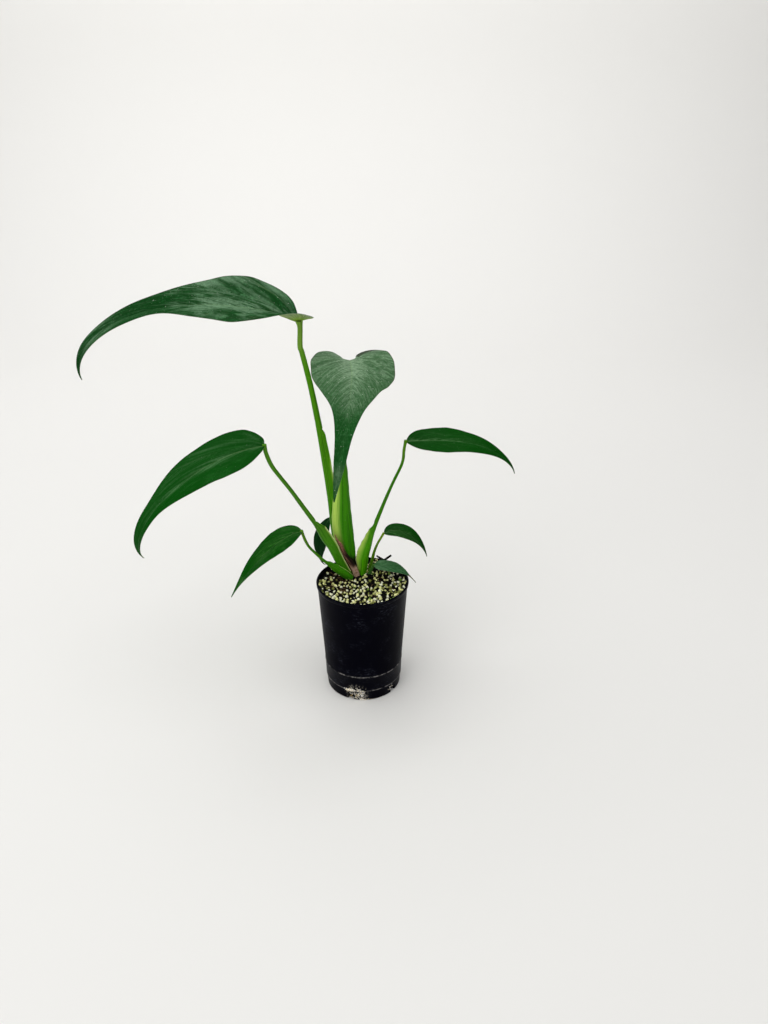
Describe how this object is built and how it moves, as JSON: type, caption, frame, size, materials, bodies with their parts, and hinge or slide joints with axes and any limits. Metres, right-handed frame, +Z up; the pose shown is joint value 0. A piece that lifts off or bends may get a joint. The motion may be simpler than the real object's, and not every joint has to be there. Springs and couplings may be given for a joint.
{
  "type": "potted burle marx flame monstera",
  "caption": "Young potted aroid with long drip-tipped heart and lance blades on arching sheathed petioles, in perlite mix in a tapered black nursery pot.",
  "frame": {"origin": "middle of the pot's flat base", "axes": "+Z up the pot's axis; the plant is seen from -Y, with its largest leaf reaching towards -X"},
  "size_m": [0.3901, 0.1707, 0.4047],
  "materials": {
    "leaf_green": "satin living leaf, deep green",
    "leaf_grey": "satin living leaf, grey-green",
    "petiole_green": "smooth living stalk, yellow-green",
    "dry_brown": "papery dried leaf scale",
    "stem_buff": "dull ringed stem",
    "black_plastic": "satin moulded, scuffed",
    "potting_mix": "damp bark and peat with pale perlite"
  },
  "bodies": {
    "root": {"leaf_1_blade": "leaf_green", "leaf_2_blade": "leaf_grey", "leaf_3_blade": "leaf_green", "leaf_4_blade": "leaf_green", "leaf_5_blade": "leaf_green", "leaf_6_blade": "leaf_green", "leaf_7_blade": "leaf_green", "leaf_8_blade": "leaf_grey", "leaf_1_petiole": "petiole_green", "leaf_2_petiole": "petiole_green", "leaf_3_petiole": "petiole_green", "leaf_4_petiole": "petiole_green", "leaf_5_petiole": "petiole_green", "leaf_6_petiole": "petiole_green", "leaf_7_petiole": "petiole_green", "leaf_8_petiole": "petiole_green", "cataphyll": "dry_brown", "stem": "stem_buff", "pot": "black_plastic", "soil": "potting_mix"}
  },
  "joints": []
}
